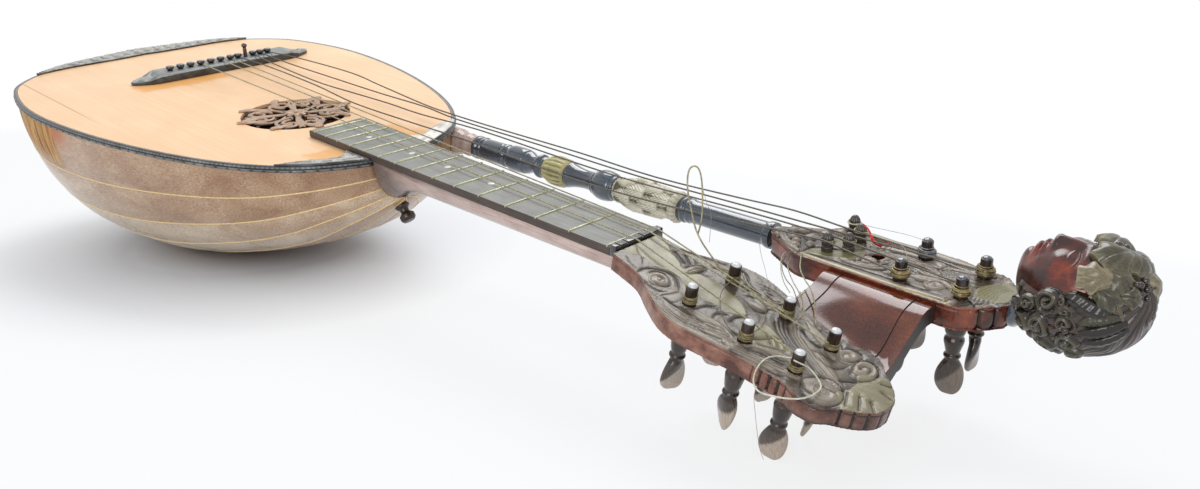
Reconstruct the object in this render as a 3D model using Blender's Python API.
"""Harp guitar with a bowl back, carved heads, a turned bass pillar and a carved finial head.

The instrument is drawn in its own frame: X runs toward the heads from the zero fret, Y toward the
bass side and Z up from the playing face of the fretboard. One empty then lays it on a table, where
it rests on its bowl and on the thumb-pieces of the pegs.
"""

import math

import bmesh
import bpy
from mathutils import Matrix, Vector

# Fit
GAP = 0.0003
BORE_CLEARANCE = 0.0004

# Scale and fretboard
SCALE_LENGTH = 0.640
FRET_COUNT = 14
FRETBOARD_THICKNESS = 0.006
FRETBOARD_WIDTH_AT_NUT = 0.0456
FRETBOARD_WIDTH_AT_END = 0.0530
FRETBOARD_PAST_LAST_FRET = 0.009
FRET_WIDTH = 0.0022
FRET_HEIGHT = 0.0010
NUT_LENGTH = 0.0055
NUT_HEIGHT = 0.0020
NUT_SLOT_DEPTH = 0.0010
NUT_SLOT_WIDTH = 0.0016
MAIN_STRINGS = 6
NUT_STRING_SPACING = 0.0074

# Body outline as distances from the zero fret and half widths
BODY_AXIS = 0.0035
BODY_OUTLINE = [
    (-0.268, 0.000),
    (-0.277, 0.040),
    (-0.305, 0.083),
    (-0.355, 0.118),
    (-0.430, 0.147),
    (-0.520, 0.168),
    (-0.615, 0.177),
    (-0.690, 0.168),
    (-0.742, 0.146),
    (-0.785, 0.089),
    (-0.803, 0.000),
]
BOWL_DEPTHS = [
    (-0.266, 0.0298),
    (-0.274, 0.0418),
    (-0.300, 0.0618),
    (-0.350, 0.0918),
    (-0.430, 0.1228),
    (-0.520, 0.1478),
    (-0.620, 0.1598),
    (-0.690, 0.1568),
    (-0.745, 0.1388),
    (-0.780, 0.1038),
    (-0.797, 0.0568),
    (-0.803, 0.0138),
]
OUTLINE_STEPS = 4
BOWL_RIBS = 11
BOWL_SECTION_POWER = 2.5
BOWL_WALL = 0.003
BOWL_INSET = 0.0012
BOWL_NECK_OPENING = 0.008
SOUNDBOARD_THICKNESS = 0.003
BINDING_WIDTH = 0.0036
BINDING_HEIGHT = 0.0050
LEDGE_WIDTH = 0.0085
LEDGE_THICKNESS = 0.0025

# Soundhole, rosette and inner bracing
HOLE_CENTRE = (-0.437, 0.002)
HOLE_RADIUS = 0.050
ROSETTE_OVERLAP = 0.006
ROSETTE_THICKNESS = 0.0035
ROSETTE_PETALS = 9
ROSETTE_PETAL_RADIUS = 0.0065
ROSETTE_PETAL_RING = 0.034
BRACE_PLACE = -0.369
BRACE_WIDTH = 0.008
BRACE_HEIGHT = 0.014
NECK_BLOCK = (0.030, 0.050, 0.030)

# Carved aprons on the soundboard
APRON_THICKNESS = 0.0022
APRON_REACH = -0.306
APRON_RIM_REACH = -0.318
APRON_CURVE = [(-0.3055, 0.0645), (-0.2940, 0.0430), (-0.2980, 0.0330)]
TAIL_APRON_DEPTH = 0.030
TAIL_APRON_SPAN = 0.130
TAIL_CAP_HEIGHT = 0.032
TAIL_CAP_SPAN = 0.128
TAIL_CAP_THICKNESS = 0.0014

# Bridge and pins
BRIDGE_FRONT = -0.634
BRIDGE_BACK = -0.664
BRIDGE_HEIGHT = 0.009
BRIDGE_LOW_END = -0.064
BRIDGE_HIGH_END = 0.138
BRIDGE_TIP = 0.026
PIN_LINE = -0.6465
PIN_FIRST = -0.023
MAIN_PIN_SPACING = 0.0113
BASS_PIN_SPACING = 0.0088
PIN_COUNT = 12
PIN_RADIUS = 0.0025
PIN_HEAD_RADIUS = 0.0042
PIN_HEAD_HEIGHT = 0.0052
PIN_LENGTH = 0.020
RAISED_PIN = 9
PIN_RAISED_BY = 0.009

# Neck
NECK_DEPTH_AT_NUT = 0.0125
NECK_DEPTH_AT_HEEL = 0.0165
HEEL_DEPTH = 0.034
HEEL_START = -0.218

# Heads and their friction pegs
HEAD_TILT = math.radians(12)
HEAD_AXIS = -0.005
HEAD_RISE = -0.0005
HEAD_THICKNESS = 0.013
HEAD_STEPS = 3
HEAD_HALF_OUTLINE = [
    (0.000, 0.0215),
    (0.012, 0.0225),
    (0.028, 0.0250),
    (0.044, 0.0340),
    (0.062, 0.0425),
    (0.078, 0.0440),
    (0.096, 0.0405),
    (0.114, 0.0365),
    (0.130, 0.0345),
    (0.148, 0.0325),
    (0.160, 0.0355),
    (0.172, 0.0335),
    (0.178, 0.0270),
    (0.184, 0.0225),
    (0.191, 0.0165),
    (0.197, 0.0075),
    (0.198, 0.0000),
]
MAIN_PEG_ROWS = [(0.066, 0.0210), (0.110, 0.0205), (0.1455, 0.0180)]
TREBLE_PEG_TURNS = [95, -3, 45]
BASS_PEG_TURNS = [65, 105, 145]
PEG_RADIUS = 0.0041
PEG_POST_HEIGHT = 0.0130
PEG_COLLAR_RADIUS = 0.0068
PEG_THUMB_HALF_WIDTH = 0.0090
PEG_THUMB_HALF_THICKNESS = 0.0042
PEG_TOTAL_LENGTH = 0.081
PEG_SIDES = 12

# Bass head
BASS_HEAD_TOP = -0.010
BASS_HEAD_THICKNESS = 0.016
BASS_HEAD_PEG_TURNS = [50, 100, 45, 120]
BASS_NEAR_OUTLINE = [
    (0.0470, 0.1060),
    (0.0470, 0.0930),
    (0.0600, 0.0850),
    (0.0800, 0.0740),
    (0.0950, 0.0730),
    (0.1400, 0.0735),
    (0.1900, 0.0745),
    (0.2010, 0.0790),
    (0.2100, 0.0880),
    (0.2170, 0.0985),
]
BASS_FAR_OUTLINE = [
    (0.2170, 0.1245),
    (0.2070, 0.1290),
    (0.2030, 0.1330),
    (0.1970, 0.1370),
    (0.1770, 0.1385),
    (0.1640, 0.1410),
    (0.1480, 0.1395),
    (0.1150, 0.1370),
    (0.0900, 0.1375),
    (0.0800, 0.1300),
    (0.0750, 0.1200),
    (0.0600, 0.1130),
    (0.0470, 0.1060),
]
BASS_PEGS = [(0.1517, 0.0865), (0.1474, 0.1265), (0.1916, 0.0893), (0.1883, 0.1266)]
EMPTY_BASS_HOLE = (0.1240, 0.1064)
GUIDE_POSTS = [(0.0937, 0.0920), (0.1039, 0.1019), (0.1013, 0.1206), (0.0895, 0.1311)]
GUIDE_POST_RADIUS = 0.0042
GUIDE_POST_HEIGHT = 0.0115

# Link between the heads
LINK_START = 0.108
LINK_END = 0.184
LINK_THICKNESS = 0.012
LINK_DROP_AT_BASS = 0.0025
LINK_UNDERCUT = 0.0050
BASS_NEAR_EDGE = 0.0730

# Pillar from the shoulder of the body to the bass head
PILLAR_START = (-0.3010, 0.0880, -0.0225)
PILLAR_END = (0.0442, 0.1020, -0.0178)
PILLAR_BRACKET_LENGTH = 0.030
PILLAR_SIDES = 24

# Finial head
FINIAL_CENTRE = (0.2530, 0.1120, 0.0040)
FINIAL_HALF_LENGTH = 0.0380
FINIAL_HALF_WIDTH = 0.0320
FINIAL_HALF_DEPTH = 0.0360
FINIAL_NECK_RADIUS = 0.0135

# Strap button on the bowl below the heel
BUTTON_PLACE = (-0.2748, 0.0035, -0.0546)
BUTTON_TILT = math.radians(138)
BUTTON_RADIUS = 0.0068
BUTTON_LENGTH = 0.0150

# Strings: where each is pinned and held, and its route between those places
GUT_RADIUS = 0.00055
BASS_STRING_RADIUS = 0.00065
CORD_RESOLUTION = 2
PEG_GRIP = 0.0060
STRING_LEAD = 0.014  # a bass string runs this far, without a bend, into and out of its guide posts
MAIN_STRING_ROUTES = [
    (4, 3, ("treble", 3, 1), []),
    (6, 5, ("bass", 3, -1), []),
    (7, 6, ("bass", 2, -1), [("bass", 1, -1)]),
]
BASS_STRING_ROUTES = [
    (
        8,
        [
            (-0.578, 0.053, 0.0050),
            (-0.476, 0.048, 0.0050),
            (-0.395, 0.040, 0.0045),
            (-0.313, 0.042, 0.0040),
            (-0.237, 0.050, 0.0010),
            (-0.123, 0.061, -0.0060),
            (-0.032, 0.074, -0.0080),
            (0.046, 0.085, -0.0050),
        ],
        [(1, -1)],
        (1, -1),
    ),
    (
        10,
        [
            (-0.595, 0.063, 0.0055),
            (-0.486, 0.054, 0.0060),
            (-0.427, 0.056, 0.0060),
            (-0.370, 0.060, 0.0055),
            (-0.318, 0.061, 0.0050),
            (-0.245, 0.068, 0.0050),
            (-0.130, 0.069, 0.0040),
            (-0.060, 0.073, 0.0030),
            (0.037, 0.088, 0.0010),
        ],
        [(1, 1), (2, -1)],
        (3, 1),
    ),
    (
        11,
        [
            (-0.575, 0.076, 0.0045),
            (-0.498, 0.076, 0.0045),
            (-0.406, 0.0765, 0.0045),
            (-0.339, 0.0795, 0.0042),
            (-0.285, 0.0760, 0.0040),
            (-0.180, 0.0800, 0.0035),
            (-0.069, 0.0840, 0.0025),
            (0.020, 0.0950, 0.0010),
        ],
        [(2, 1)],
        (4, -1),
    ),
    (
        12,
        [
            (-0.590, 0.092, 0.0060),
            (-0.489, 0.095, 0.0070),
            (-0.424, 0.088, 0.0070),
            (-0.339, 0.0785, 0.0068),
            (-0.296, 0.0775, 0.0065),
            (-0.230, 0.0795, 0.0062),
            (-0.137, 0.0850, 0.0055),
            (-0.057, 0.0865, 0.0050),
            (0.013, 0.0985, 0.0040),
            (0.054, 0.1080, 0.0030),
        ],
        [(3, -1)],
        (2, -1),
    ),
]
LOOSE_GUT_ROUTES = [
    [
        (0.0707, 0.0165, -0.0072),
        (0.0670, 0.0130, -0.0020),
        (0.0610, 0.0095, 0.0050),
        (0.0540, 0.0070, 0.0140),
        (0.0490, 0.0080, 0.0220),
        (0.0430, 0.0090, 0.0340),
        (0.0385, 0.0110, 0.0460),
        (0.0390, 0.0140, 0.0530),
        (0.0430, 0.0175, 0.0520),
        (0.0455, 0.0180, 0.0450),
        (0.0480, 0.0150, 0.0350),
        (0.0510, 0.0110, 0.0250),
        (0.0530, 0.0100, 0.0150),
    ],
    [
        (0.1491, -0.0198, -0.0255),
        (0.1449, -0.0208, -0.0262),
        (0.1399, -0.0245, -0.0258),
        (0.1374, -0.0305, -0.0256),
        (0.1379, -0.0386, -0.0267),
        (0.1399, -0.0455, -0.0297),
        (0.1434, -0.0500, -0.0320),
        (0.1495, -0.0527, -0.0333),
        (0.1574, -0.0513, -0.0331),
        (0.1643, -0.0489, -0.0326),
        (0.1697, -0.0444, -0.0325),
        (0.1728, -0.0375, -0.0325),
        (0.1727, -0.0285, -0.0323),
        (0.1703, -0.0244, -0.0316),
        (0.1648, -0.0211, -0.0300),
        (0.1600, -0.0218, -0.0262),
        (0.1574, -0.0262, -0.0228),
        (0.1536, -0.0280, -0.0213),
    ],
]

# How it lies on the table
REST_PITCH = math.radians(5.49)
REST_ROLL = math.radians(5.4)

NUT_FRONT = FRET_WIDTH + GAP + NUT_LENGTH
HEAD_START = NUT_FRONT + GAP + FRETBOARD_THICKNESS * math.tan(HEAD_TILT)
SOUNDBOARD_TOP = -FRETBOARD_THICKNESS - GAP
SOUNDBOARD_UNDER = SOUNDBOARD_TOP - SOUNDBOARD_THICKNESS
RIM_TOP = SOUNDBOARD_TOP - BINDING_HEIGHT - GAP

PALETTE = {
    "spruce": ((0.80, 0.53, 0.26), 0.35, 0.0),
    "bowl_wood": ((0.26, 0.15, 0.09), 0.30, 0.0),
    "ebonised": ((0.020, 0.022, 0.026), 0.30, 0.0),
    "fretboard": ((0.060, 0.062, 0.066), 0.45, 0.0),
    "neck_wood": ((0.20, 0.055, 0.03), 0.30, 0.0),
    "patinated": ((0.15, 0.13, 0.08), 0.50, 0.1),
    "mahogany": ((0.10, 0.016, 0.008), 0.15, 0.0),
    "finial_wood": ((0.12, 0.025, 0.012), 0.20, 0.0),
    "peg_wood": ((0.045, 0.020, 0.013), 0.25, 0.0),
    "gut": ((0.62, 0.56, 0.36), 0.45, 0.0),
    "wound_string": ((0.10, 0.095, 0.085), 0.40, 0.6),
    "inner_wood": ((0.60, 0.42, 0.24), 0.60, 0.0),
}
materials = {}


def clear_scene():
    for old in list(bpy.data.objects):
        bpy.data.objects.remove(old)


def material(name):
    """A Principled material from the palette, made once."""
    if name not in materials:
        colour, roughness, metallic = PALETTE[name]
        made = bpy.data.materials.new(name)
        made.use_nodes = True
        shader = made.node_tree.nodes["Principled BSDF"]
        shader.inputs["Base Color"].default_value = (*colour, 1.0)
        shader.inputs["Roughness"].default_value = roughness
        shader.inputs["Metallic"].default_value = metallic
        materials[name] = made
    return materials[name]


def empty(name, parent=None, location=(0, 0, 0), rotation=(0, 0, 0)):
    made = bpy.data.objects.new(name, None)
    bpy.context.scene.collection.objects.link(made)
    made.parent = parent
    made.location = location
    made.rotation_euler = rotation
    return made


def add_object(name, mesh, look, parent, location=(0, 0, 0), rotation=(0, 0, 0), smooth=True):
    """Links a mesh as a named object with its material and place."""
    made = bpy.data.objects.new(name, mesh)
    bpy.context.scene.collection.objects.link(made)
    made.parent = parent
    made.location = location
    made.rotation_euler = rotation
    mesh.materials.append(material(look))
    if smooth and mesh.polygons:
        mesh.shade_smooth()
        mesh.set_sharp_from_angle(angle=math.radians(35))
    return made


def mesh_from(bm, name):
    bmesh.ops.recalc_face_normals(bm, faces=bm.faces)
    mesh = bpy.data.meshes.new(name)
    bm.to_mesh(mesh)
    bm.free()
    return mesh


def catmull(points, steps, closed=False):
    """A smooth curve through hand-chosen points, with a number of steps in each span."""
    points = [Vector(point) for point in points]
    count = len(points)
    spans = count if closed else count - 1
    found = []
    for span in range(spans):
        if closed:
            a, b, c, d = (points[(span + k) % count] for k in (-1, 0, 1, 2))
        else:
            b, c = points[span], points[span + 1]
            a = points[span - 1] if span else 2 * b - c
            d = points[span + 2] if span + 2 < count else 2 * c - b
        for step in range(steps):
            t = step / steps
            found.append(
                0.5 * (2 * b + (c - a) * t + (2 * a - 5 * b + 4 * c - d) * t**2 + (3 * b - a - 3 * c + d) * t**3)
            )
    if not closed:
        found.append(points[-1])
    return found


def value_at(curve, x):
    """The curve's second coordinate where its first one is x; the first coordinate only falls."""
    for a, b in zip(curve, curve[1:]):
        if b[0] <= x <= a[0]:
            share = (a[0] - x) / (a[0] - b[0]) if a[0] > b[0] else 0.0
            return a[1] + share * (b[1] - a[1])
    return curve[0][1] if x > curve[0][0] else curve[-1][1]


def plate(name, outline, low, high, holes=()):
    """A flat piece between two heights. Each hole is an outline of its own, cut right through."""
    bm = bmesh.new()
    edges = []
    for ring in (outline, *holes):
        corners = [bm.verts.new((x, y, low)) for x, y in ring]
        edges += [bm.edges.new((a, b)) for a, b in zip(corners, corners[1:] + corners[:1])]
    if holes:
        bmesh.ops.triangle_fill(bm, edges=edges, use_beauty=True, use_dissolve=False)
    else:
        bm.faces.new(bm.verts)
    grown = bmesh.ops.extrude_face_region(bm, geom=bm.faces[:])["geom"]
    raised = [item for item in grown if isinstance(item, bmesh.types.BMVert)]
    bmesh.ops.translate(bm, verts=raised, vec=(0, 0, high - low))
    return mesh_from(bm, name)


def skin(name, rings, close_ring=True, close_loop=False):
    """A closed body through equal rings of points, with a flat cap on each end unless it loops."""
    bm = bmesh.new()
    grid = [[bm.verts.new(point) for point in ring] for ring in rings]
    pairs = list(zip(grid, grid[1:]))
    if close_loop:
        pairs.append((grid[-1], grid[0]))
    count = len(grid[0])
    for first, second in pairs:
        for k in range(count if close_ring else count - 1):
            after = (k + 1) % count
            bm.faces.new((first[k], first[after], second[after], second[k]))
    if not close_loop:
        bm.faces.new(grid[0])
        bm.faces.new(grid[-1])
    return mesh_from(bm, name)


def circle(radius, sides, centre=(0, 0), start=0.0):
    return [
        (
            centre[0] + radius * math.cos(start + 2 * math.pi * k / sides),
            centre[1] + radius * math.sin(start + 2 * math.pi * k / sides),
        )
        for k in range(sides)
    ]


def ellipse_ring(x_radius, y_radius, z, sides):
    return [
        (x_radius * math.cos(2 * math.pi * k / sides), y_radius * math.sin(2 * math.pi * k / sides), z)
        for k in range(sides)
    ]


def turned(name, profile, look, parent, location=(0, 0, 0), rotation=(0, 0, 0), sides=PILLAR_SIDES):
    """A turned piece: the profile gives radius and height, from the top down its outer side."""
    mesh = bpy.data.meshes.new(name)
    points = [(0, 0, profile[0][1])] if profile[0][0] else []
    points += [(radius, 0, height) for radius, height in profile]
    points += [(0, 0, profile[-1][1])] if profile[-1][0] else []
    mesh.from_pydata(points, [(k, k + 1) for k in range(len(points) - 1)], [])
    made = add_object(name, mesh, look, parent, location, rotation, smooth=False)
    screw = made.modifiers.new("Turned", "SCREW")
    screw.axis = "Z"
    screw.steps = sides
    screw.render_steps = sides
    screw.use_merge_vertices = True
    screw.merge_threshold = 0.00001
    screw.use_smooth_shade = True
    return made


def inset(outline, distance):
    """A closed outline moved inward by a distance; its points run anticlockwise."""
    moved = []
    count = len(outline)
    for k in range(count):
        before, here, after = (Vector(outline[(k + step) % count][:2]) for step in (-1, 0, 1))
        along = ((here - before).normalized() + (after - here).normalized()).normalized()
        moved.append((here.x - along.y * distance, here.y + along.x * distance))
    return moved


body_curve = catmull(BODY_OUTLINE, OUTLINE_STEPS)
depth_curve = catmull(BOWL_DEPTHS, OUTLINE_STEPS)
head_curve = catmull(HEAD_HALF_OUTLINE, HEAD_STEPS)


def body_outline():
    """The soundboard's closed outline, anticlockwise seen from above, from the neck round the bass side."""
    bass = [(x, BODY_AXIS + half) for x, half in body_curve]
    treble = [(x, BODY_AXIS - half) for x, half in body_curve[-2:0:-1]]
    return bass + treble


def fretboard_half_width(x):
    share = min(1.0, -x / fret_distance(FRET_COUNT))
    return 0.5 * (FRETBOARD_WIDTH_AT_NUT + share * (FRETBOARD_WIDTH_AT_END - FRETBOARD_WIDTH_AT_NUT))


def fret_distance(number):
    return SCALE_LENGTH * (1 - 2 ** (-number / 12))


def pin_place(number):
    """How far across the bridge a pin stands, from 1 at the treble end."""
    main = min(number - 1, MAIN_STRINGS)
    return PIN_FIRST + main * MAIN_PIN_SPACING + (number - 1 - main) * BASS_PIN_SPACING


def build_soundboard(root):
    outline = inset(body_outline(), BINDING_WIDTH + GAP)
    pin_holes = [
        circle(PIN_RADIUS + BORE_CLEARANCE, 8, (PIN_LINE, pin_place(number)))
        for number in range(1, PIN_COUNT + 1)
    ]
    hole = circle(HOLE_RADIUS, 40, HOLE_CENTRE)
    mesh = plate("soundboard", outline, SOUNDBOARD_UNDER, SOUNDBOARD_TOP, [hole, *pin_holes])
    add_object("soundboard", mesh, "spruce", root)


def build_binding(root):
    """The carved edging, with the ledge inside it that the soundboard is glued to."""
    outline = body_outline()
    ledge_top = SOUNDBOARD_UNDER - GAP
    bottom = SOUNDBOARD_TOP - BINDING_HEIGHT
    section = [
        (0.0, bottom),
        (0.0, SOUNDBOARD_TOP),
        (BINDING_WIDTH, SOUNDBOARD_TOP),
        (BINDING_WIDTH, ledge_top),
        (LEDGE_WIDTH, ledge_top),
        (LEDGE_WIDTH, bottom),
    ]
    walls = [(inset(outline, distance), height) for distance, height in section]
    rings = [[(*wall[k], height) for wall, height in walls] for k in range(len(outline))]
    add_object("edge_binding", skin("edge_binding", rings, close_loop=True), "ebonised", root)


def bowl_ring(x, half_width, depth, top):
    """One U-shaped line across the bowl, from the treble rim to the bass rim."""
    steps = 2 * BOWL_RIBS
    ring = []
    for k in range(steps + 1):
        share = math.sin(math.pi * (k / steps - 0.5))
        fall = (max(0.0, 1 - abs(share) ** BOWL_SECTION_POWER)) ** 0.5
        ring.append(Vector((x, BODY_AXIS + half_width * share, top - depth * fall)))
    return ring


def bowl_stations():
    return [point for point in body_curve if point.y > BOWL_NECK_OPENING]


def build_bowl(root):
    """A shell of thin ribs. It is open at the top and at the neck, where the heel covers it."""
    outer, inner = [], []
    stations = bowl_stations()
    for k, here in enumerate(stations):
        before = stations[k - 1] if k else Vector(BODY_OUTLINE[0])
        along = (here - before).normalized()
        shifted = here + BOWL_WALL * Vector((-along.y, along.x))
        depth = value_at(depth_curve, here.x)
        outer.append(bowl_ring(here.x, here.y - BOWL_INSET, depth, RIM_TOP))
        inner.append(bowl_ring(shifted.x, shifted.y - BOWL_INSET, depth - BOWL_WALL, RIM_TOP))
    bm = bmesh.new()
    outside = [[bm.verts.new(point) for point in ring] for ring in outer]
    inside = [[bm.verts.new(point) for point in ring] for ring in inner]
    for grid in (outside, inside):
        for first, second in zip(grid, grid[1:]):
            for k in range(len(first) - 1):
                bm.faces.new((first[k], first[k + 1], second[k + 1], second[k]))
        bm.faces.new(grid[-1])
    for k in range(len(outside) - 1):
        for side in (0, -1):
            bm.faces.new((outside[k][side], outside[k + 1][side], inside[k + 1][side], inside[k][side]))
    for k in range(len(outside[0]) - 1):
        bm.faces.new((outside[0][k], outside[0][k + 1], inside[0][k + 1], inside[0][k]))
    bm.faces.new((outside[-1][0], outside[-1][-1], inside[-1][-1], inside[-1][0]))
    add_object("bowl", mesh_from(bm, "bowl"), "bowl_wood", root)


def bowl_drop(x, y):
    """How far below the rim the bowl's outside lies over a point of the plan."""
    half = value_at(body_curve, x) - BOWL_INSET
    if half <= abs(y - BODY_AXIS):
        return 0.0
    share = abs(y - BODY_AXIS) / half
    return value_at(depth_curve, x) * (1 - share**BOWL_SECTION_POWER) ** 0.5


def build_tail_cap(root):
    """The strip that covers the ribs' ends around the tail, standing just off the bowl."""
    outline = body_outline()
    along = [k for k, (x, y) in enumerate(outline) if x < -0.70 and abs(y - BODY_AXIS) < TAIL_CAP_SPAN]
    heights = [TAIL_CAP_HEIGHT * k / 5 for k in range(6)]
    count = len(outline)
    rings = []
    for k in along:
        here = Vector(outline[k])
        tangent = (Vector(outline[(k + 1) % count]) - Vector(outline[k - 1])).normalized()
        inward = Vector((-tangent.y, tangent.x))
        depths = []
        for height in heights:
            distance = 0.0
            while bowl_drop(*(here + inward * distance)) < height and distance < 0.05:
                distance += 0.0002
            depths.append(distance)
        outer = [
            (*(here + inward * (distance - TAIL_CAP_THICKNESS - 3 * GAP)), RIM_TOP - height)
            for distance, height in zip(depths, heights)
        ]
        back = [
            (*(here + inward * (distance - 3 * GAP)), RIM_TOP - height)
            for distance, height in zip(depths, heights)
        ]
        rings.append(outer + back[::-1])
    add_object("tail_cap", skin("tail_cap", rings), "bowl_wood", root)


def build_aprons(root):
    """The carved overlays: one on each shoulder beside the fretboard and one round the tail."""
    low = SOUNDBOARD_TOP + GAP
    high = low + APRON_THICKNESS
    shoulder = [point for point in body_curve if APRON_RIM_REACH < point[0] and point[1] > 0.034]
    for side, name in ((-1, "treble_apron"), (1, "bass_apron")):
        beside = side * (fretboard_half_width(APRON_REACH) + GAP * 3)
        outer = [(x, BODY_AXIS + side * half) for x, half in shoulder]
        tip = (APRON_REACH, beside)
        curve = [(x, side * half) for x, half in APRON_CURVE]
        inner = catmull([outer[-1], *curve, tip], 4)[1:]
        front = (-0.2700, side * (fretboard_half_width(-0.2700) + GAP * 3))
        ring = [*outer, *[tuple(point) for point in inner], front]
        mesh = plate(name, ring, low, high)
        add_object(name, mesh, "ebonised", root)
    outline = body_outline()
    edged = inset(outline, TAIL_APRON_DEPTH)
    outer, inner = [], []
    for (x, y), (deep_x, deep_y) in zip(outline, edged):
        reach = abs(y - BODY_AXIS) / TAIL_APRON_SPAN
        if x < -0.70 and reach < 1:
            taper = 1 - reach**2
            outer.append((x, y))
            inner.append((x + (deep_x - x) * taper, y + (deep_y - y) * taper))
    mesh = plate("tail_apron", outer + inner[::-1], low, high)
    add_object("tail_apron", mesh, "ebonised", root)


def build_rosette(root):
    """An openwork disc glued under the soundhole's edge."""
    petals = [
        circle(
            ROSETTE_PETAL_RADIUS,
            10,
            (
                HOLE_CENTRE[0] + ROSETTE_PETAL_RING * math.cos(2 * math.pi * k / ROSETTE_PETALS),
                HOLE_CENTRE[1] + ROSETTE_PETAL_RING * math.sin(2 * math.pi * k / ROSETTE_PETALS),
            ),
        )
        for k in range(ROSETTE_PETALS)
    ]
    inner = [
        circle(
            ROSETTE_PETAL_RADIUS * 0.62,
            8,
            (
                HOLE_CENTRE[0] + 0.45 * ROSETTE_PETAL_RING * math.cos(math.pi * (2 * k + 1) / 5),
                HOLE_CENTRE[1] + 0.45 * ROSETTE_PETAL_RING * math.sin(math.pi * (2 * k + 1) / 5),
            ),
        )
        for k in range(5)
    ]
    outline = circle(HOLE_RADIUS + ROSETTE_OVERLAP, 40, HOLE_CENTRE)
    top = SOUNDBOARD_UNDER - GAP
    mesh = plate("rosette", outline, top - ROSETTE_THICKNESS, top, petals + inner)
    add_object("rosette", mesh, "patinated", root)


def box(name, size, centre, look, root):
    bm = bmesh.new()
    bmesh.ops.create_cube(bm, size=1.0, matrix=Matrix.Translation(centre) @ Matrix.Diagonal((*size, 1)))
    add_object(name, mesh_from(bm, name), look, root, smooth=False)


def build_inside(root):
    """A brace and the block behind the heel, glued up under the soundboard."""
    top = SOUNDBOARD_UNDER - GAP
    reach = value_at(body_curve, BRACE_PLACE) - LEDGE_WIDTH - 0.004
    centre = (BRACE_PLACE, BODY_AXIS, top - BRACE_HEIGHT / 2)
    box("upper_brace", (BRACE_WIDTH, 2 * reach, BRACE_HEIGHT), centre, "inner_wood", root)
    centre = (-0.3250, BODY_AXIS, top - NECK_BLOCK[2] / 2)
    box("neck_block", NECK_BLOCK, centre, "inner_wood", root)


def build_fretboard(root):
    """The side view with its frets, drawn across and then tapered along its length."""
    end = -fret_distance(FRET_COUNT) - FRETBOARD_PAST_LAST_FRET
    start = FRET_WIDTH
    side = [(end, 0.0), (end, -FRETBOARD_THICKNESS), (start, -FRETBOARD_THICKNESS), (start, 0.0)]
    for number in range(FRET_COUNT + 1):
        x = -fret_distance(number)
        side += [
            (x + FRET_WIDTH / 2, 0.0),
            (x + FRET_WIDTH / 4, FRET_HEIGHT),
            (x - FRET_WIDTH / 4, FRET_HEIGHT),
            (x - FRET_WIDTH / 2, 0.0),
        ]
    bm = bmesh.new()
    bm.faces.new([bm.verts.new((x, -1, z)) for x, z in side])
    grown = bmesh.ops.extrude_face_region(bm, geom=bm.faces[:])["geom"]
    bmesh.ops.translate(bm, verts=[g for g in grown if isinstance(g, bmesh.types.BMVert)], vec=(0, 2, 0))
    for vert in bm.verts:
        vert.co.y *= fretboard_half_width(vert.co.x)
    bmesh.ops.triangulate(bm, faces=[face for face in bm.faces if len(face.verts) > 4])
    add_object("fretboard", mesh_from(bm, "fretboard"), "fretboard", root)


def build_nut(root):
    half = FRETBOARD_WIDTH_AT_NUT / 2
    low = -FRETBOARD_THICKNESS
    outline = [(half, low), (half, NUT_HEIGHT)]
    for number in range(MAIN_STRINGS, 0, -1):
        y = nut_slot(number)
        outline += [
            (y + NUT_SLOT_WIDTH / 2, NUT_HEIGHT),
            (y + NUT_SLOT_WIDTH / 2, NUT_HEIGHT - NUT_SLOT_DEPTH),
            (y - NUT_SLOT_WIDTH / 2, NUT_HEIGHT - NUT_SLOT_DEPTH),
            (y - NUT_SLOT_WIDTH / 2, NUT_HEIGHT),
        ]
    outline += [(-half, NUT_HEIGHT), (-half, low)]
    rings = [[(x, y, z) for y, z in outline] for x in (FRET_WIDTH + GAP, NUT_FRONT)]
    add_object("nut", skin("nut", rings), "ebonised", root)


def nut_slot(number):
    return (number - (MAIN_STRINGS + 1) / 2) * NUT_STRING_SPACING


def build_neck(root):
    """A D-shaped neck that deepens into the heel on the bowl's shoulder."""
    top = -FRETBOARD_THICKNESS - GAP
    heel_end = BODY_OUTLINE[0][0] + GAP
    stations = [
        (NUT_FRONT, NECK_DEPTH_AT_NUT),
        (-0.080, 0.0140),
        (-0.160, 0.0155),
        (HEEL_START, NECK_DEPTH_AT_HEEL),
        (-0.236, 0.0200),
        (-0.250, 0.0265),
        (-0.259, 0.0310),
        (heel_end, HEEL_DEPTH),
    ]
    rings = []
    for x, depth in stations:
        half = fretboard_half_width(x) - GAP
        across = [(half, top), (-half, top)]
        for k in range(13):
            angle = math.pi * k / 12
            across.append((-half * math.cos(angle), top - 0.004 - depth * math.sin(angle)))
        lean = math.tan(HEAD_TILT) if x == NUT_FRONT else 0.0
        rings.append([(x + lean * z - 2 * GAP * (lean > 0), y, z) for y, z in across])
    add_object("neck", skin("neck", rings), "neck_wood", root)


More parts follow.
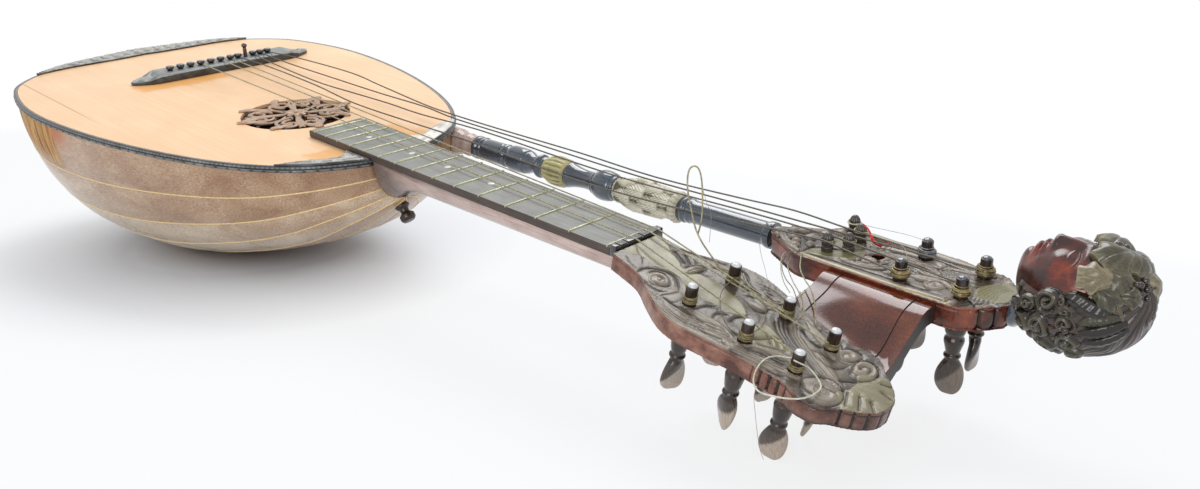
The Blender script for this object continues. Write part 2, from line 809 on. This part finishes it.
def build_bridge(root):
    """A low bar with pointed carved tips and a row of pin holes."""
    low = SOUNDBOARD_TOP + GAP
    top = low + BRIDGE_HEIGHT
    middle = (BRIDGE_FRONT + BRIDGE_BACK) / 2
    half = (BRIDGE_FRONT - BRIDGE_BACK) / 2
    tips = [(0.0, 0.15, 0.35), (0.25, 0.45, 0.45), (0.6, 0.8, 0.6), (1.0, 1.0, 1.0)]
    shape = [(BRIDGE_LOW_END + share * BRIDGE_TIP, wide, tall) for share, wide, tall in tips]
    shape += [(BRIDGE_HIGH_END - share * BRIDGE_TIP, wide, tall) for share, wide, tall in tips[::-1]]
    rings = []
    for y, wide, tall in shape:
        front, back = middle + half * wide, middle - half * wide
        high = low + BRIDGE_HEIGHT * tall
        rings.append(
            [
                (front, y, low),
                (front, y, high - 0.0025 * tall),
                (front - 0.18 * half * wide, y, high),
                (back + 0.18 * half * wide, y, high),
                (back, y, high - 0.0040 * tall),
                (back, y, low),
            ]
        )
    bridge = add_object("bridge", skin("bridge", rings), "ebonised", root)
    bm = bmesh.new()
    for number in range(1, PIN_COUNT + 1):
        place = Matrix.Translation((PIN_LINE, pin_place(number), (low + top) / 2))
        bmesh.ops.create_cone(
            bm,
            cap_ends=True,
            segments=8,
            radius1=PIN_RADIUS + BORE_CLEARANCE,
            radius2=PIN_RADIUS + BORE_CLEARANCE,
            depth=3 * BRIDGE_HEIGHT,
            matrix=place,
        )
    subtract(bridge, mesh_from(bm, "pin_hole_cutter"), root)
    return top


def build_pins(root, bridge_top):
    """One pin for each string. The pin pulls straight up out of its hole."""
    profile = [
        (PIN_HEAD_RADIUS * 0.55, PIN_HEAD_HEIGHT),
        (PIN_HEAD_RADIUS, PIN_HEAD_HEIGHT * 0.7),
        (PIN_HEAD_RADIUS * 0.9, PIN_HEAD_HEIGHT * 0.3),
        (PIN_RADIUS, 0.0),
        (PIN_RADIUS * 0.85, -PIN_LENGTH),
    ]
    for number in range(1, PIN_COUNT + 1):
        lift = PIN_RAISED_BY if number == RAISED_PIN else 0.0
        place = (PIN_LINE, pin_place(number), bridge_top + GAP * 2 + lift)
        turned(f"bridge_pin_{number:02d}", profile, "ebonised", root, place, sides=10)


def head_outline():
    near = [(u, -half) for u, half in head_curve]
    far = [(u, half) for u, half in head_curve[-2::-1]]
    return near + far


def bass_outline():
    near = catmull(BASS_NEAR_OUTLINE, HEAD_STEPS)
    far = catmull(BASS_FAR_OUTLINE, HEAD_STEPS)[:-1]
    return [(x, y) for x, y in near + far]


def peg_rings(thickness):
    """Round shaft and collars above a flattened thumb-piece, from the post's top down."""
    end = PEG_POST_HEIGHT - PEG_TOTAL_LENGTH
    under = -thickness - 2 * GAP
    thumb = -0.041
    shape = [
        (0.0032, 0.0032, PEG_POST_HEIGHT),
        (PEG_RADIUS, PEG_RADIUS, PEG_POST_HEIGHT - 0.0010),
        (PEG_RADIUS, PEG_RADIUS, under),
        (PEG_COLLAR_RADIUS - 0.0008, PEG_COLLAR_RADIUS - 0.0008, under - 0.0003),
        (0.0050, 0.0050, under - 0.0080),
        (PEG_COLLAR_RADIUS, PEG_COLLAR_RADIUS, under - 0.0120),
        (PEG_COLLAR_RADIUS, PEG_COLLAR_RADIUS, under - 0.0145),
        (0.0042, 0.0036, thumb + 0.0040),
        (0.0066, 0.0040, thumb - 0.0030),
        (PEG_THUMB_HALF_WIDTH, PEG_THUMB_HALF_THICKNESS, (thumb + end) / 2 - 0.0010),
        (0.0078, 0.0040, end + 0.0055),
        (0.0040, 0.0026, end + 0.0008),
        (0.0014, 0.0012, end),
    ]
    return [ellipse_ring(x, y, z, PEG_SIDES) for x, y, z in shape]


def drill(target, places, low, high, parent):
    """Cuts round peg holes through a head between two heights."""
    bm = bmesh.new()
    for x, y in places:
        bmesh.ops.create_cone(
            bm,
            cap_ends=True,
            segments=PEG_SIDES,
            radius1=PEG_RADIUS + BORE_CLEARANCE,
            radius2=PEG_RADIUS + BORE_CLEARANCE,
            depth=high - low,
            matrix=Matrix.Translation((x, y, (low + high) / 2)),
        )
    subtract(target, mesh_from(bm, target.name + "_drill"), parent)


def build_main_head(root):
    """The flat head behind the nut, tilted back, with three pegs to each side."""
    frame = empty("main_head_frame", root, (HEAD_START, HEAD_AXIS, HEAD_RISE), (0, HEAD_TILT, 0))
    outline = head_outline()
    head = add_object("main_head", plate("main_head", outline, -HEAD_THICKNESS, 0.0), "patinated", frame)
    places = [(u, side * across) for u, across in MAIN_PEG_ROWS for side in (-1, 1)]
    drill(head, places, -2 * HEAD_THICKNESS, HEAD_THICKNESS, frame)
    for row, (u, across) in enumerate(MAIN_PEG_ROWS, 1):
        for side, name, turns in ((-1, "treble", TREBLE_PEG_TURNS), (1, "bass", BASS_PEG_TURNS)):
            title = f"{name}_peg_{row}"
            mesh = skin(title, peg_rings(HEAD_THICKNESS))
            turn = (0, 0, math.radians(turns[row - 1]))
            add_object(title, mesh, "peg_wood", frame, (u, side * across, 0), turn)
    return frame


def build_bass_head(root):
    frame = empty("bass_head_frame", root, (0, 0, BASS_HEAD_TOP))
    mesh = plate("bass_head", bass_outline(), -BASS_HEAD_THICKNESS, 0.0)
    head = add_object("bass_head", mesh, "patinated", frame)
    drill(head, [*BASS_PEGS, EMPTY_BASS_HOLE], -2 * BASS_HEAD_THICKNESS, BASS_HEAD_THICKNESS, frame)
    for number, (x, y) in enumerate(BASS_PEGS, 1):
        title = f"bass_string_peg_{number}"
        turn = (0, 0, math.radians(BASS_HEAD_PEG_TURNS[number - 1]))
        mesh = skin(title, peg_rings(BASS_HEAD_THICKNESS))
        add_object(title, mesh, "peg_wood", frame, (x, y, 0), turn)
    profile = [
        (GUIDE_POST_RADIUS * 0.30, GUIDE_POST_HEIGHT),
        (GUIDE_POST_RADIUS * 0.75, GUIDE_POST_HEIGHT * 0.85),
        (GUIDE_POST_RADIUS, GUIDE_POST_HEIGHT * 0.55),
        (GUIDE_POST_RADIUS * 0.80, GUIDE_POST_HEIGHT * 0.42),
        (GUIDE_POST_RADIUS, GUIDE_POST_HEIGHT * 0.30),
        (GUIDE_POST_RADIUS, 0.0),
    ]
    for number, (x, y) in enumerate(GUIDE_POSTS, 1):
        turned(f"guide_post_{number}", profile, "ebonised", frame, (x, y, GAP), sides=12)
    return frame


def link_edge(x):
    """The main head's bass edge at a distance along the instrument: how far across, and its height."""
    u = (x - HEAD_START) / math.cos(HEAD_TILT)
    half = 0.0
    for (u_a, half_a), (u_b, half_b) in zip(head_curve, head_curve[1:]):
        if u_a <= u <= u_b:
            half = half_a + (half_b - half_a) * (u - u_a) / (u_b - u_a)
    return HEAD_AXIS + half, HEAD_RISE - u * math.sin(HEAD_TILT)


def build_link(root, head_frame):
    """A bent slab between the two heads, high at the bass head and cut to the main head's edge."""
    rings = []
    high_y = BASS_NEAR_EDGE - 2 * GAP
    high_z = BASS_HEAD_TOP - LINK_DROP_AT_BASS
    for k in range(7):
        x = LINK_START + (LINK_END - LINK_START) * k / 6
        low_y, low_z = link_edge(x)
        low_y -= LINK_UNDERCUT
        low_z -= 0.0020
        route = catmull(
            [
                (high_y, high_z),
                (high_y - 0.008, high_z - 0.0006),
                (high_y - 0.018, high_z - 0.0050),
                (low_y + LINK_UNDERCUT + 0.008, low_z + 0.0040),
                (low_y, low_z),
            ],
            3,
        )
        upper = [(x, point.x, point.y) for point in route]
        lower = [(x, point.x, point.y - LINK_THICKNESS) for point in route]
        rings.append(upper + lower[::-1])
    link = add_object("head_link", skin("head_link", rings), "mahogany", root)
    seat = plate("link_cutter", inset(head_outline(), -2 * GAP), -3 * HEAD_THICKNESS, 3 * HEAD_THICKNESS)
    subtract(link, seat, head_frame)


def subtract(target, mesh, parent):
    """Cuts a mesh out of a piece; the cutter itself is left out of the build."""
    cutter = bpy.data.objects.new(mesh.name, mesh)
    bpy.context.scene.collection.objects.link(cutter)
    cutter.parent = parent
    cutter.hide_render = True
    cutter.display_type = "WIRE"
    cut = target.modifiers.new(mesh.name, "BOOLEAN")
    cut.operation = "DIFFERENCE"
    cut.object = cutter
    cut.solver = "EXACT"


def pillar_frame(root):
    start, end = Vector(PILLAR_START), Vector(PILLAR_END)
    frame = empty("pillar_frame", root, start)
    frame.rotation_mode = "QUATERNION"
    frame.rotation_quaternion = (end - start).to_track_quat("Z", "Y")
    return frame, (end - start).length


def build_pillar(root):
    """The pillar's turnings from the body end to the bass head, each on the same axis."""
    frame, length = pillar_frame(root)
    first = 0.028
    marks = {
        "pillar_base": [
            (0.0085, 0.116),
            (0.0100, 0.108),
            (0.0076, 0.103),
            (0.0080, 0.100),
            (0.0092, 0.092),
            (0.0110, 0.086),
            (0.0110, 0.074),
            (0.0086, 0.068),
            (0.0098, 0.062),
            (0.0098, 0.040),
            (0.0080, 0.034),
            (0.0100, 0.031),
            (0.0100, first),
        ],
        "reeded_ferrule": [
            (0.0098, 0.142),
            (0.0118, 0.139),
            (0.0126, 0.128),
            (0.0106, 0.120),
            (0.0090, 0.1163),
        ],
        "pillar_middle": [
            (0.0092, 0.196),
            (0.0112, 0.192),
            (0.0125, 0.183),
            (0.0112, 0.175),
            (0.0088, 0.171),
            (0.0078, 0.162),
            (0.0086, 0.152),
            (0.0102, 0.1423),
        ],
        "leaf_sleeve": [
            (0.0096, 0.262),
            (0.0124, 0.258),
            (0.0104, 0.252),
            (0.0122, 0.236),
            (0.0130, 0.222),
            (0.0112, 0.208),
            (0.0092, 0.1963),
        ],
        "pillar_shaft": [
            (0.0098, length),
            (0.0098, length - 0.006),
            (0.0090, length - 0.007),
            (0.0088, 0.280),
            (0.0088, 0.2623),
        ],
    }
    looks = {"reeded_ferrule": "patinated", "leaf_sleeve": "patinated"}
    for name, profile in marks.items():
        turned(name, profile, looks.get(name, "ebonised"), frame)
    return frame, first


def build_bracket(root, frame, first):
    """The carved foot of the pillar, cut to sit against the bowl and the edge binding."""
    rings = []
    shape = [(-0.012, 0.0125), (0.003, 0.0120), (0.010, 0.0095), (0.017, 0.0105), (0.022, 0.0090)]
    for height, radius in [*shape, (first - GAP, 0.0105)]:
        rings.append(ellipse_ring(radius, radius, height, 16))
    bracket = add_object("pillar_bracket", skin("pillar_bracket", rings), "neck_wood", frame)
    body = []
    for point in bowl_stations():
        half, depth = point.y - BOWL_INSET + 2 * GAP, value_at(depth_curve, point.x) + GAP
        body.append(bowl_ring(point.x, half, depth, RIM_TOP + GAP))
    subtract(bracket, skin("bowl_cutter", body), root)
    edge = plate("edge_cutter", inset(body_outline(), -2 * GAP), RIM_TOP - GAP, SOUNDBOARD_TOP + 0.010)
    subtract(bracket, edge, root)


def build_finial(root):
    """The carved head at the bass head's end, lying face up on a short round neck."""
    centre = Vector(FINIAL_CENTRE)
    neck_start = Vector((0.2170 + GAP, 0.1115, BASS_HEAD_TOP - BASS_HEAD_THICKNESS / 2))
    bm = bmesh.new()
    bmesh.ops.create_uvsphere(bm, u_segments=24, v_segments=16, radius=1.0)
    scale = Matrix.Diagonal((FINIAL_HALF_LENGTH, FINIAL_HALF_WIDTH, FINIAL_HALF_DEPTH, 1))
    bmesh.ops.transform(bm, verts=bm.verts, matrix=Matrix.Translation(centre) @ scale)
    head = add_object("finial_head", mesh_from(bm, "finial_head"), "finial_wood", root)
    rings = []
    stations = [(0.0, 0.0120, 0.0078), (0.35, 0.0130, 0.0100), (1.0, 0.0200, 0.0180)]
    for share, wide, tall in stations:
        middle = neck_start.lerp(centre, share * 0.6)
        rings.append(
            [
                (
                    middle.x,
                    middle.y + wide * math.cos(2 * math.pi * k / 16),
                    middle.z + tall * math.sin(2 * math.pi * k / 16),
                )
                for k in range(16)
            ]
        )
    neck = bpy.data.objects.new("finial_neck", skin("finial_neck", rings))
    bpy.context.scene.collection.objects.link(neck)
    neck.parent = root
    neck.hide_render = True
    neck.display_type = "WIRE"
    join = head.modifiers.new("Neck", "BOOLEAN")
    join.operation = "UNION"
    join.object = neck
    join.solver = "EXACT"


def build_button(root):
    profile = [
        (BUTTON_RADIUS * 0.75, BUTTON_LENGTH),
        (BUTTON_RADIUS, BUTTON_LENGTH * 0.85),
        (BUTTON_RADIUS, BUTTON_LENGTH * 0.62),
        (BUTTON_RADIUS * 0.55, BUTTON_LENGTH * 0.45),
        (BUTTON_RADIUS * 0.60, BUTTON_LENGTH * 0.25),
        (BUTTON_RADIUS * 0.95, BUTTON_LENGTH * 0.10),
        (BUTTON_RADIUS * 0.95, 0.0),
    ]
    turned("strap_button", profile, "mahogany", root, BUTTON_PLACE, (0, BUTTON_TILT, 0), sides=16)


def cord(name, points, radius, look, parent, steps=1, smooth=True):
    """A string or loose strand as a tube along a curve through hand-chosen points."""
    curve = bpy.data.curves.new(name, "CURVE")
    curve.dimensions = "3D"
    curve.bevel_depth = radius
    curve.bevel_resolution = CORD_RESOLUTION
    curve.use_fill_caps = True
    route = catmull(points, steps) if smooth else points
    spline = curve.splines.new("POLY")
    spline.points.add(len(route) - 1)
    for spot, point in zip(spline.points, route):
        spot.co = (*point, 1.0)
    curve.materials.append(material(look))
    made = bpy.data.objects.new(name, curve)
    bpy.context.scene.collection.objects.link(made)
    made.parent = parent
    return made


def peg_side(row, side, which, radius):
    """The point on a main peg's post where a string of a radius bears on one side of it."""
    u, across = MAIN_PEG_ROWS[row - 1]
    sine, cosine = math.sin(HEAD_TILT), math.cos(HEAD_TILT)
    y = HEAD_AXIS + (across if side == "bass" else -across) + which * (PEG_RADIUS + radius + GAP)
    x = HEAD_START + u * cosine + PEG_GRIP * sine
    return (x, y, HEAD_RISE - u * sine + PEG_GRIP * cosine)


def pin_start(number, radius, bridge_top):
    """Where a string leaves the bridge in front of its pin."""
    return (PIN_LINE + PIN_HEAD_RADIUS + radius, pin_place(number), bridge_top + radius + GAP)


def build_main_strings(root, bridge_top):
    """The gut strings that still run from the bridge over the nut to a peg."""
    for number, (pin, slot, (side, row, which), passes) in enumerate(MAIN_STRING_ROUTES, 1):
        height = NUT_HEIGHT - NUT_SLOT_DEPTH + GUT_RADIUS + GAP
        route = [
            pin_start(pin, GUT_RADIUS, bridge_top),
            (FRET_WIDTH, nut_slot(slot), height),
            (NUT_FRONT, nut_slot(slot), height),
        ]
        route += [peg_side(pass_row, pass_side, away, GUT_RADIUS) for pass_side, pass_row, away in passes]
        route.append(peg_side(row, side, which, GUT_RADIUS))
        cord(f"main_string_{number}", route, GUT_RADIUS, "gut", root, smooth=False)


def toward(start, end, reach):
    """The point at a distance from one point toward another."""
    return tuple(Vector(start) + (Vector(end) - Vector(start)).normalized() * reach)


def build_bass_strings(root, bridge_top):
    """The slack dark strings, past the guide posts and on to the bass head's pegs."""
    reach = GUIDE_POST_RADIUS + BASS_STRING_RADIUS + GAP
    for number, (pin, middle, guides, (peg, which)) in enumerate(BASS_STRING_ROUTES, 1):
        route = [pin_start(pin, BASS_STRING_RADIUS, bridge_top), *middle]
        x, y = BASS_PEGS[peg - 1]
        grip = PEG_RADIUS + BASS_STRING_RADIUS + GAP
        end = (x, y + which * grip, BASS_HEAD_TOP + PEG_GRIP)
        passed = []
        for post, side in guides:
            x, y = GUIDE_POSTS[post - 1]
            passed.append((x, y + side * reach, BASS_HEAD_TOP + 0.0085))
        if passed:
            route.append(toward(passed[0], route[-1], STRING_LEAD))
            route += passed
            route.append(toward(passed[-1], end, STRING_LEAD))
        route.append(end)
        cord(f"bass_string_{number}", route, BASS_STRING_RADIUS, "wound_string", root, steps=4)


def build_loose_guts(root):
    for number, route in enumerate(LOOSE_GUT_ROUTES, 1):
        cord(f"loose_gut_{number}", route, GUT_RADIUS, "gut", root, steps=4)


def settle(root):
    """Stands the lowest point on the table and the middle of the box, without strings, over the origin."""
    bpy.context.view_layer.update()
    graph = bpy.context.evaluated_depsgraph_get()
    corners = []
    for obj in bpy.data.objects:
        if obj.type == "MESH" and not obj.hide_render:
            evaluated = obj.evaluated_get(graph)
            shape = evaluated.to_mesh()
            corners += [evaluated.matrix_world @ vert.co for vert in shape.vertices]
            evaluated.to_mesh_clear()
    low = Vector(min(corner[k] for corner in corners) for k in range(3))
    high = Vector(max(corner[k] for corner in corners) for k in range(3))
    root.location = (-(low.x + high.x) / 2, -(low.y + high.y) / 2, -low.z)


def main():
    clear_scene()
    root = empty("harp_guitar", rotation=(REST_ROLL, REST_PITCH, 0))
    build_soundboard(root)
    build_binding(root)
    build_bowl(root)
    build_tail_cap(root)
    build_aprons(root)
    build_rosette(root)
    build_inside(root)
    build_fretboard(root)
    build_nut(root)
    build_neck(root)
    bridge_top = build_bridge(root)
    build_pins(root, bridge_top)
    head_frame = build_main_head(root)
    build_bass_head(root)
    build_link(root, head_frame)
    frame, first = build_pillar(root)
    build_bracket(root, frame, first)
    build_finial(root)
    build_button(root)
    build_main_strings(root, bridge_top)
    build_bass_strings(root, bridge_top)
    build_loose_guts(root)
    settle(root)


main()
